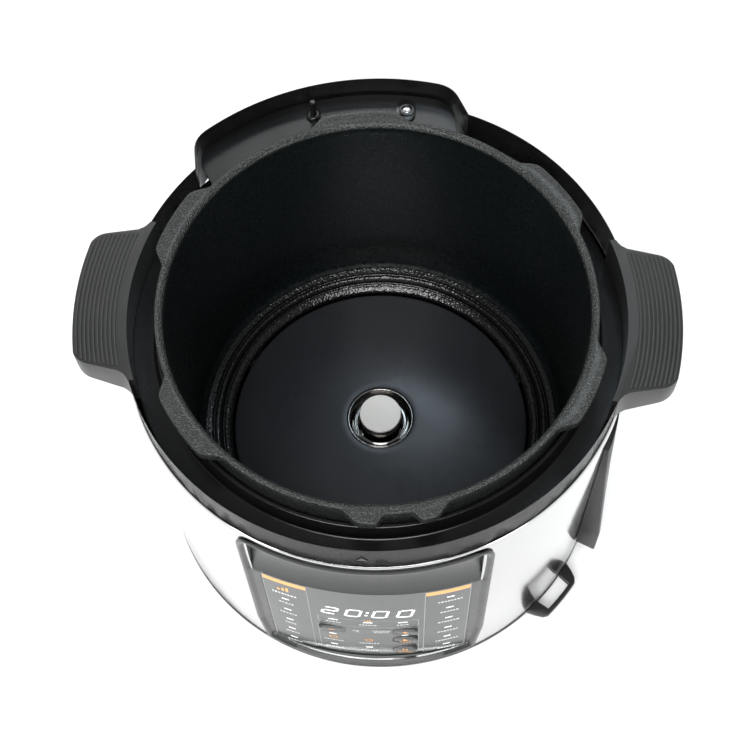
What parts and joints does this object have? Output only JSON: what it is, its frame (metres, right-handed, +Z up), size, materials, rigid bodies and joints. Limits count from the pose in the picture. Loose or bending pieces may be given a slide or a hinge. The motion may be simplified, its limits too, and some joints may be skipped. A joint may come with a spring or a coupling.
{
  "type": "electric pressure multi-cooker base",
  "caption": "Round electric multi-cooker base for pressure cooking, with an open heated well, side handles, a rear condensate tray and a curved control panel; no lid or inner pot.",
  "frame": {"origin": "on the table, under the axis of the cooking well", "axes": "+Z up, -Y towards the control panel, +X to the right of someone facing the panel"},
  "size_m": [0.3344, 0.2999, 0.2311],
  "materials": {
    "black_plastic": "satin, lightly textured moulding",
    "steel": "polished with a fine brush",
    "rubber": "matte",
    "pot_enamel": "dark hammered enamel",
    "plate": "dark satin coat on cast aluminium",
    "aluminium": "satin",
    "element": "heat-darkened sheath",
    "spring_steel": "bright",
    "zinc_sheet": "zinc-plated sheet",
    "panel_gloss": "glossy dark grey",
    "overlay": "glossy grey film",
    "key": "dark satin key",
    "board": "green laminate",
    "component": "dark moulded parts",
    "display": "dark display window",
    "contact": "bright"
  },
  "bodies": {
    "housing": {"base_pan": "black_plastic", "buzzer": "component", "capacitor": "component", "collar": "black_plastic", "control_board": "board", "cord_loop": "black_plastic", "display_module": "display", "foot_1": "rubber", "foot_2": "rubber", "foot_3": "rubber", "foot_4": "rubber", "handle_left": "black_plastic", "handle_right": "black_plastic", "heating_element": "element", "heating_plate": "plate", "inlet_contact_1": "contact", "inlet_contact_2": "contact", "inlet_contact_3": "contact", "inlet_hood": "black_plastic", "inlet_socket": "black_plastic", "lid_pin_bush": "black_plastic", "lid_pin_spring": "spring_steel", "lid_switch": "component", "outer_shell": "steel", "panel_bezel": "panel_gloss", "panel_overlay": "overlay", "plate_spacer_1": "zinc_sheet", "plate_spacer_2": "zinc_sheet", "plate_spacer_3": "zinc_sheet", "pot_housing": "pot_enamel", "pot_leg_1": "zinc_sheet", "pot_leg_2": "zinc_sheet", "pot_leg_3": "zinc_sheet", "pot_stud_1": "zinc_sheet", "pot_stud_2": "zinc_sheet", "pot_stud_3": "zinc_sheet", "power_board": "board", "pressure_switch": "component", "relay": "component", "sensor_guide": "steel", "sensor_spring": "spring_steel", "spring_plate": "spring_steel", "thermal_cutout": "component", "transformer": "component", "tray_cover": "black_plastic", "tray_screw": "spring_steel"},
    "sensor": {"sensor_cap": "aluminium", "sensor_clip": "spring_steel"},
    "lid_pin": {"lid_pin": "black_plastic"},
    "key_minus": {"key_minus": "key"},
    "key_plus": {"key_plus": "key"},
    "key_start": {"key_start": "key"},
    "key_stop": {"key_stop": "key"}
  },
  "joints": [
    {"name": "sensor_press", "type": "slide", "parent": "housing", "child": "sensor", "axis": [0, 0, -1], "range_m": [0, 0.007], "stiffness_N_per_m": 400, "deforming": ["sensor_spring"]},
    {"name": "lid_pin_press", "type": "slide", "parent": "housing", "child": "lid_pin", "axis": [0, 0, -1], "range_m": [0, 0.004], "stiffness_N_per_m": 200, "deforming": ["lid_pin_spring"]},
    {"name": "key_minus_press", "type": "slide", "parent": "housing", "child": "key_minus", "axis": [0, 1, 0], "range_m": [0, 0.0006], "stiffness_N_per_m": 1500},
    {"name": "key_plus_press", "type": "slide", "parent": "housing", "child": "key_plus", "axis": [0, 1, 0], "range_m": [0, 0.0006], "stiffness_N_per_m": 1500},
    {"name": "key_start_press", "type": "slide", "parent": "housing", "child": "key_start", "axis": [0, 1, 0], "range_m": [0, 0.0006], "stiffness_N_per_m": 1500},
    {"name": "key_stop_press", "type": "slide", "parent": "housing", "child": "key_stop", "axis": [0, 1, 0], "range_m": [0, 0.0006], "stiffness_N_per_m": 1500}
  ]
}
